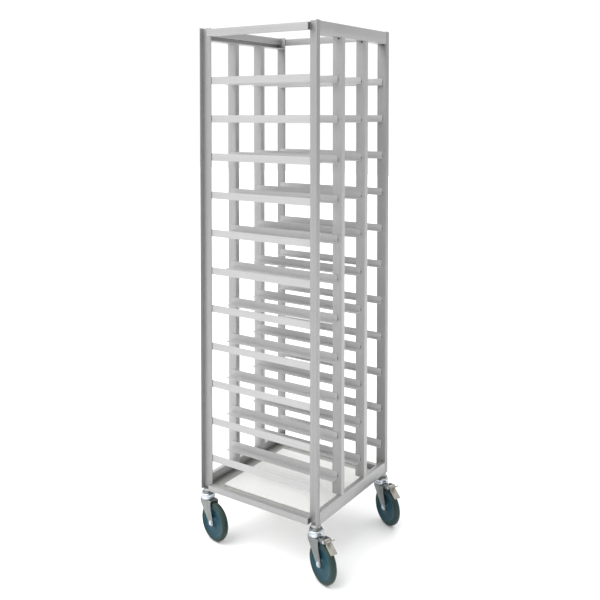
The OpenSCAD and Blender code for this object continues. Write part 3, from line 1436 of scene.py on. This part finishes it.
@dataclass
class RackFrame:
    """The welded frame: rails, uprights, tray, runners and welds."""

    finishes: Finishes
    def build(self) -> None:
        """Builds every piece of the frame."""
        for level in ("top", "bottom"):
            for side in Side:
                SideRail(f"{level}_rail_{side.name.lower()}", self.finishes).build()
            for end in End:
                CrossRail(f"{level}_rail_{end.name.lower()}", self.finishes).build()
        RailPlugs(self.finishes).build()
        for side in Side:
            name = side.name.lower()
            for number in (1, 4):
                CornerUpright(f"upright_{name}_{number}", self.finishes).build()
            for number in (2, 3):
                TubeUpright(f"upright_{name}_{number}", self.finishes).build()
        FloorTray(self.finishes).build()
        rows = self.row_faces()
        for tier in range(1, TIERS + 1):
            RunnerTier(f"runner_tier_{tier:02d}", rows, self.finishes).build()
        welds = Welds(rows, self.finishes)
        welds.runner_beads()
        welds.weld_and_shadow_spots()
        welds.rail_beads()

    def row_faces(self) -> list[float]:
        """Gives the rear faces of the four rows of runners.

        The first row lies behind the front uprights and the others lie in
        front of theirs.

        Returns:
            Their places along Y, front to rear.
        """
        first = Box.of("upright_right_1").high.y + Runner.thickness
        others = [Box.of(f"upright_right_{n}").low.y for n in UPRIGHTS[1:]]
        return [first, *others]


# ---------------------------------------------------------------------------
# The casters
# ---------------------------------------------------------------------------


@dataclass(frozen=True)
class CasterPlace:
    """Where a caster stands and how it is turned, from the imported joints."""

    name: str
    pin: Vector
    trail: float
    turn: float
    wheel_radius: float

    @staticmethod
    def of(name: str) -> "CasterPlace":
        """Reads a caster's place.

        Args:
            name: The caster's corner, such as front_left.

        Returns:
            Its place.
        """
        joints = {j["name"]: j for j in frame["joints"]}
        swivel, spin = joints[f"swivel_{name}"], joints[f"wheel_spin_{name}"]
        pin = Vector(swivel["pos_m"]) / MM
        hub = Vector(spin["pos_m"]) / MM
        axis = Vector(spin["axis"])
        flat = Vector((hub.x - pin.x, hub.y - pin.y))
        pin.z = 0.0
        return CasterPlace(name, pin, flat.length, math.atan2(-axis.x, axis.y), hub.z)

    @property
    def matrix(self) -> Matrix:
        """The caster's own frame in the row frame: the wheel trails to +X."""
        return Matrix.Translation(self.pin) @ Matrix.Rotation(self.turn, 4, "Z")

    @property
    def braked(self) -> bool:
        """Whether it has a brake."""
        return any(j["name"] == f"brake_{self.name}" for j in frame["joints"])


@dataclass
class CasterTops:
    """What stays on the frame: collars, king pins, nuts and upper races."""

    places: list[CasterPlace]
    finishes: Finishes

    def build(self) -> None:
        """Builds the four pieces, each for all the casters."""
        collars, pins, nuts, races = Solid(), Solid(), Solid(), Solid()
        collar, pin = Box.of("caster_collars"), Box.of("caster_king_pins")
        nut, race = Box.of("caster_pin_nuts"), Box.of("caster_top_races")
        bottom, top = collar.low.z, collar.high.z
        for place in self.places:
            collars.turned(
                [
                    (6.2, bottom), (14.8, bottom), (16.0, bottom + 1.2),
                    (16.0, top - 1.2), (14.8, top), (6.2, top),
                ],
                place.pin,
                Along.Z,
            )
            pins.turned(
                [
                    (0.01, pin.low.z), (5.8, pin.low.z), (6.9, pin.low.z + 1.1),
                    (6.9, bottom - 4.0), (5.9, bottom - 4.0), (5.9, pin.high.z - 0.2),
                    (0.01, pin.high.z - 0.2),
                ],
                place.pin,
                Along.Z,
                32,
            )
            middle = place.pin + Vector((0.0, 0.0, (nut.low.z + nut.high.z) / 2))
            nuts.rod(middle, Along.Z, 10.4, nut.high.z - nut.low.z, 6)
            races.turned(
                [
                    (7.2, race.low.z), (18.8, race.low.z), (20.0, race.low.z + 1.0),
                    (20.0, race.low.z + 2.2), (19.0, race.low.z + 3.2), (15.6, race.low.z + 3.4),
                    (14.8, race.low.z + 4.4), (14.8, bottom), (7.2, bottom),
                ],
                place.pin,
                Along.Z,
            )
        nuts.bevel(0.7)
        made = (
            (collars, "king_pin_collars", "frame", self.finishes.upright, "caster_collars"),
            (pins, "king_pins", "zinc", self.finishes.zinc, "caster_king_pins"),
            (nuts, "king_pin_nuts", "bright_zinc", self.finishes.bright_zinc, "caster_pin_nuts"),
            (races, "upper_races", "zinc", self.finishes.zinc, "caster_top_races"),
        )
        for solid, name, slot, finish, node in made:
            solid.piece(name, ROOT, slot, [finish], [node])


@dataclass
class Caster:
    """One swivel caster, drawn with its wheel trailing to +X."""

    place: CasterPlace
    finishes: Finishes
    leg_outer: float = 17.25
    leg_wall: float = 3.0
    crown_low: float = 129.0
    crown_high: float = 133.0
    crown_front: float = -21.0
    crown_rear: float = 34.0
    foot: float = 11.0
    crown_radius: float = 22.8
    shoulder: float = 4.5
    ear_gap: float = 10.3
    ear_wall: float = 3.0
    ear: float = 7.0
    tread_depth: float = 12.0
    tread_half: float = 10.9
    tread_curve: float = 8.6
    bolt_head: float = 4.5
    bolt_nut: float = 5.5
    bolt_corner: float = 7.5
    washer: float = 1.2

    def build(self) -> None:
        """Builds every piece of the caster."""
        self.fork()
        self.cup()
        self.axle()
        self.core()
        self.tyre()
        if self.place.braked:
            self.brake_pin()
            self.pedal()

    def _finish(
        self, solid: Solid, part: str, node: str, body: str, slot: str, *finishes: object
    ) -> None:
        """Sets a part in its place and makes its piece.

        Args:
            solid: The part in the caster's own frame.
            part: The start of the piece's name.
            node: The start of the CAD node's name.
            body: The start of the CAD body's name.
            slot: The record's material slot.
            finishes: Its materials."""
        name = self.place.name
        solid.move(self.place.matrix)
        solid.piece(
            f"{part}_{name}", f"{body}_{name}", slot, finishes, [f"{node}_{name}"]
        )

    def _bright(self, solid: Solid, part: str, node: str) -> None:
        """Finishes a bright plated part of the fork.

        Args:
            solid: The part in the caster's own frame.
            part: The start of the piece's name.
            node: The start of the CAD node's name.
        """
        finish = self.finishes.bright_zinc
        self._finish(solid, part, node, "fork_body", "bright_zinc", finish)

    def _hub(self) -> Vector:
        """Gives the wheel's centre in the caster's own frame."""
        return Vector((self.place.trail, 0.0, self.place.wheel_radius))

    def _leg_outline(self) -> list[Point2]:
        """Gives a fork leg's outline in X and Z.

        Returns:
            Its corners, with the foot as an arc.
        """
        hub = (self.place.trail, self.place.wheel_radius)
        return [
            (self.crown_front, self.crown_high),
            (self.crown_front, self.crown_low - 11.0),
            *arc(hub, self.foot, range(210, 361, 15)),
            (self.crown_rear + 1.0, self.crown_low - 20.0),
            (self.crown_rear, self.crown_low - 12.0),
            (self.crown_rear, self.crown_high),
        ]

    def fork(self) -> None:
        """Builds the pressed fork, and the brake's bracket where it has one."""
        solid = Solid()
        inner = self.leg_outer - self.leg_wall
        solid.prism(self._leg_outline(), Along.Y, inner, self.leg_outer)
        solid.cut((0.0, 0.0, self.crown_low), (0.0, 0.0, 1.0))

        def crown_strip(face: bmesh.types.BMFace) -> bool:
            """Says whether a face is the leg's inner edge beside the crown."""
            return face.normal.y < -FACING and face.calc_center_median().z > self.crown_low

        solid.pull(crown_strip, (0.0, -inner, 0.0)).mirror_y()
        corner = Vector((self.leg_outer, self.crown_high))

        def shoulder(edge: bmesh.types.BMEdge) -> bool:
            """Says whether an edge lies along the fork's upper corner."""
            ends = (Vector((abs(v.co.y), v.co.z)) for v in edge.verts)
            return all((end - corner).length < TOUCH for end in ends)

        solid.bevel(self.shoulder, 5, shoulder)
        solid.bevel(0.5)
        thick = self.crown_high - self.crown_low
        crown = Solid().rod(
            Vector((0.0, 0.0, self.crown_low + thick / 2)), Along.Z, self.crown_radius, thick, 64
        )
        solid.take(crown.bevel(0.8))
        if self.place.braked:
            self._bracket(solid)
        self._finish(solid, "caster_fork", "fork", "fork_body", "zinc", self.finishes.zinc)

    def _pivot(self) -> Vector:
        """Gives the brake's pivot in the caster's own frame.

        Returns:
            The pivot.
        """
        joint = next(j for j in frame["joints"] if j["name"] == f"brake_{self.place.name}")
        return self.place.matrix.inverted() @ (Vector(joint["pos_m"]) / MM)

    def _bracket(self, solid: Solid) -> None:
        """Adds the brake's two ears and tongue.

        Args:
            solid: The fork's solid.
        """
        pivot = self._pivot()
        start, low = self.crown_rear - 2.0, self.crown_low
        outer = self.ear_gap + self.ear_wall
        ears = Solid().block(
            (start, -outer, low), (pivot.x - self.ear - 4.0, outer, self.crown_high)
        )
        tip = arc((pivot.x, pivot.z), self.ear, range(-90, 91, 15))
        outline = [(start, low), *tip, (start, low + 12.0)]
        for y in (-outer, self.ear_gap):
            ears.prism(outline, Along.Y, y, y + self.ear_wall)
        ears.bevel(0.5)
        solid.take(ears)

    def cup(self) -> None:
        """Builds the pressed housing of the swivel bearing."""
        low, high = self.crown_high + 0.1, Box.of(f"swivel_cup_{self.place.name}").high.z
        profile = [
            (7.3, low), (21.0, low), (23.0, low + 0.7), (24.0, low + 2.4),
            (24.0, low + 6.8), (23.1, low + 8.0), (23.1, low + 9.0), (23.8, low + 10.0),
            (23.6, high - 4.6), (22.8, high - 2.4), (21.2, high - 0.8), (19.0, high),
            (7.3, high),
        ]
        solid = Solid().turned(profile, Vector((0.0, 0.0, 0.0)), Along.Z, 64)
        self._bright(solid, "bearing_cup", "swivel_cup")

    def axle(self) -> None:
        """Builds the axle bolt, its nut and washers, and the wheel's bush."""
        hub, out, washer = self._hub(), self.leg_outer, self.washer
        solid = Solid()
        for sign, tall in ((-1.0, self.bolt_head), (1.0, self.bolt_nut)):
            middle = sign * (out + washer + (tall - washer) / 2)
            solid.rod(
                hub + Vector((0.0, middle, 0.0)), Along.Y, self.bolt_corner, tall - washer, 6
            )
        solid.bevel(0.9, 2)
        shanks = Solid()
        for sign in (-1.0, 1.0):
            middle = sign * (out + washer / 2)
            shanks.rod(hub + Vector((0.0, middle, 0.0)), Along.Y, 9.0, washer, 40)
        tip = Vector((0.0, out + self.bolt_nut - 1.0, 0.0))
        shanks.rod(hub + tip, Along.Y, 3.9, 4.0, 24)
        shanks.rod(hub, Along.Y, 5.95, 2.0 * (out - self.leg_wall), 32)
        shanks.bevel(0.35)
        solid.take(shanks)
        self._bright(solid, "axle_bolt", "axle")

    def core(self) -> None:
        """Builds the moulded wheel core."""
        rim_r = self.place.wheel_radius - self.tread_depth
        half = [
            (6.3, 12.6), (6.8, 13.0), (13.4, 13.0), (14.6, 12.4), (15.2, 11.2), (15.8, 9.6),
            (17.2, 8.2), (19.6, 7.0), (23.0, 6.2), (28.0, 5.9), (34.0, 5.8), (39.0, 5.9),
            (42.4, 6.4), (44.6, 7.4), (46.2, 8.6), (47.8, 9.0), (rim_r - 1.0, 9.0), (rim_r, 8.6),
        ]
        profile = half + [(r, -h) for r, h in reversed(half)]
        solid = Solid().turned(profile, self._hub(), Along.Y, 72)
        self._finish(
            solid, "wheel_core_moulding", "wheel_core", "wheel", "wheel_core", self.finishes.core
        )

    def tyre(self) -> None:
        """Builds the tread, crowned across and with a lip on each side."""
        radius, half_width = self.place.wheel_radius, self.tread_half
        inner = radius - self.tread_depth + 0.05
        reach = half_width - self.tread_curve
        crown = [
            (r, h + math.copysign(reach, angle) if angle else 0.0)
            for angle in range(-90, 91, 10)
            for r, h in arc((radius - self.tread_curve, 0.0), self.tread_curve, [angle])
        ]
        lip = [(inner, 9.4), (inner + 1.0, 10.4), (inner + 2.0, half_width)]
        profile = [*((r, -h) for r, h in lip), *crown, *reversed(lip)]
        solid = Solid().turned(profile, self._hub(), Along.Y, 96)
        self._finish(solid, "wheel_tread", "tyre", "wheel", "tyre", self.finishes.tread)

    def brake_pin(self) -> None:
        """Builds the pin that the pedal turns on."""
        pivot = self._pivot()
        pivot.y = 0.0
        solid = Solid().rod(pivot, Along.Y, 2.95, 27.0, 24)
        for sign in (-1.0, 1.0):
            solid.rod(pivot + Vector((0.0, sign * 14.0, 0.0)), Along.Y, 4.4, 1.4, 24)
        solid.bevel(0.4)
        self._bright(solid, "brake_pivot_pin", "brake_pin")

    def pedal(self) -> None:
        """Builds the pedal: a barrel, a wide tab to press and one to lift."""
        pivot = self._pivot()
        base = Vector((pivot.x, pivot.z))
        press, lift = base + Vector((39.0, -24.5)), base + Vector((30.0, 15.0))
        elbow = base + Vector((12.0, -5.0))
        outlines = (
            (arc(base, 6.5, range(0, 360, 12)), 10.0),
            (bar(base + Vector((4.5, 0.0)), elbow + Vector((3.0, -2.0)), 4.0), 9.9),
            (bar(base + Vector((7.0, -2.0)), lift, 3.0), 9.8),
            (bar(elbow, press, 3.0), 11.5),
        )
        solid = Solid()
        for outline, half_width in outlines:
            solid.prism(outline, Along.Y, -half_width, half_width)
        solid.bevel(0.7)
        ribs = Solid()
        run = (press - elbow).normalized()
        up = Vector((-run.y, run.x))
        for step in (0.5, 0.66, 0.82):
            spot = elbow.lerp(press, step) + up * 1.6
            ribs.prism(bar(spot - run * 1.2, spot + run * 1.2, 1.2), Along.Y, -9.0, 9.0)
        ribs.bevel(0.4)
        solid.take(ribs)
        self._finish(
            solid, "brake_pedal_lever", "brake_pedal", "pedal", "pedal", self.finishes.pedal
        )


# ---------------------------------------------------------------------------
# The studio
# ---------------------------------------------------------------------------


@dataclass(frozen=True)
class Studio:
    """The floor, the soft light and the camera."""

    eye: Vector = Vector((1.5338, -2.2532, 1.4337))
    heading: float = math.radians(33.99)
    downward: float = math.radians(1.77)
    lens: float = 47.96
    lift: float = -0.2706
    floor_size: float = 14.0

    def build(self) -> None:
        """Builds the studio."""
        self._floor()
        self._sky()
        self._key()
        self._camera()

    def _floor(self) -> None:
        """Lays the pale floor."""
        material = bpy.data.materials.new("studio_floor")
        material.use_nodes = True
        graph = Graph(material.node_tree)
        shader = next(n for n in material.node_tree.nodes if n.type == "BSDF_PRINCIPLED")
        tone = graph.noise(graph.object_coordinates(), 0.8, 2.0)
        graph.join(
            graph.blend(tone, (0.95, 0.95, 0.95), (0.97, 0.97, 0.97)), shader.inputs["Base Color"]
        )
        shader.inputs["Roughness"].default_value = 0.9
        shader.inputs["Specular IOR Level"].default_value = 0.1
        mesh = bmesh.new()
        bmesh.ops.create_grid(mesh, x_segments=1, y_segments=1, size=self.floor_size)
        data = bpy.data.meshes.new("studio_floor")
        mesh.to_mesh(data)
        mesh.free()
        data.materials.append(material)
        floor = bpy.data.objects.new("studio_floor", data)
        bpy.context.scene.collection.objects.link(floor)

    def _sky(self) -> None:
        """Surrounds the rack with white light that is dimmer on the right."""
        world = bpy.data.worlds.new("studio_light")
        bpy.context.scene.world = world
        world.use_nodes = True
        graph = Graph(world.node_tree)
        background = next(n for n in world.node_tree.nodes if n.type == "BACKGROUND")
        parts = graph.add("SeparateXYZ")
        graph.join(graph.add("TexCoord").outputs["Generated"], parts.inputs[0])
        amount = graph.remap(parts.outputs["X"], (-0.15, 0.65), (0.0, 1.0))
        graph.join(
            graph.blend(amount, (1.06, 1.06, 1.06), (0.56, 0.56, 0.57)), background.inputs["Color"]
        )
        overhead = graph.remap(parts.outputs["Z"], (0.2, 0.9), (0.0, 1.0))
        graph.join(graph.calculate("ADD", overhead, 1.0), background.inputs["Strength"])

    def _key(self) -> None:
        """Hangs one large soft light above the front left."""
        data = bpy.data.lights.new("soft_key", "SUN")
        data.energy = 1.1
        data.angle = math.radians(50)
        light = bpy.data.objects.new("soft_key", data)
        light.rotation_euler = (math.radians(32), math.radians(-18), 0.0)
        bpy.context.scene.collection.objects.link(light)

    def _camera(self) -> None:
        """Sets up the camera."""
        data = bpy.data.cameras.new("studio_camera")
        data.lens = self.lens
        data.sensor_width = 36.0
        data.shift_y = self.lift
        data.clip_end = 60.0
        camera = bpy.data.objects.new("studio_camera", data)
        camera.location = self.eye
        camera.rotation_euler = (math.pi / 2 - self.downward, 0.0, self.heading)
        bpy.context.scene.collection.objects.link(camera)
        bpy.context.scene.camera = camera
        bpy.context.scene.view_settings.view_transform = "Standard"


def main() -> None:
    """Builds the rack and its studio."""
    logging.basicConfig(level=logging.INFO, format="%(name)s: %(message)s")
    finishes = Finishes()
    RackFrame(finishes).build()
    places = [
        CasterPlace.of(name) for name in ("front_left", "front_right", "rear_left", "rear_right")
    ]
    CasterTops(places, finishes).build()
    for place in places:
        Caster(place, finishes).build()
    Studio().build()


if __name__ == "__main__":
    main()
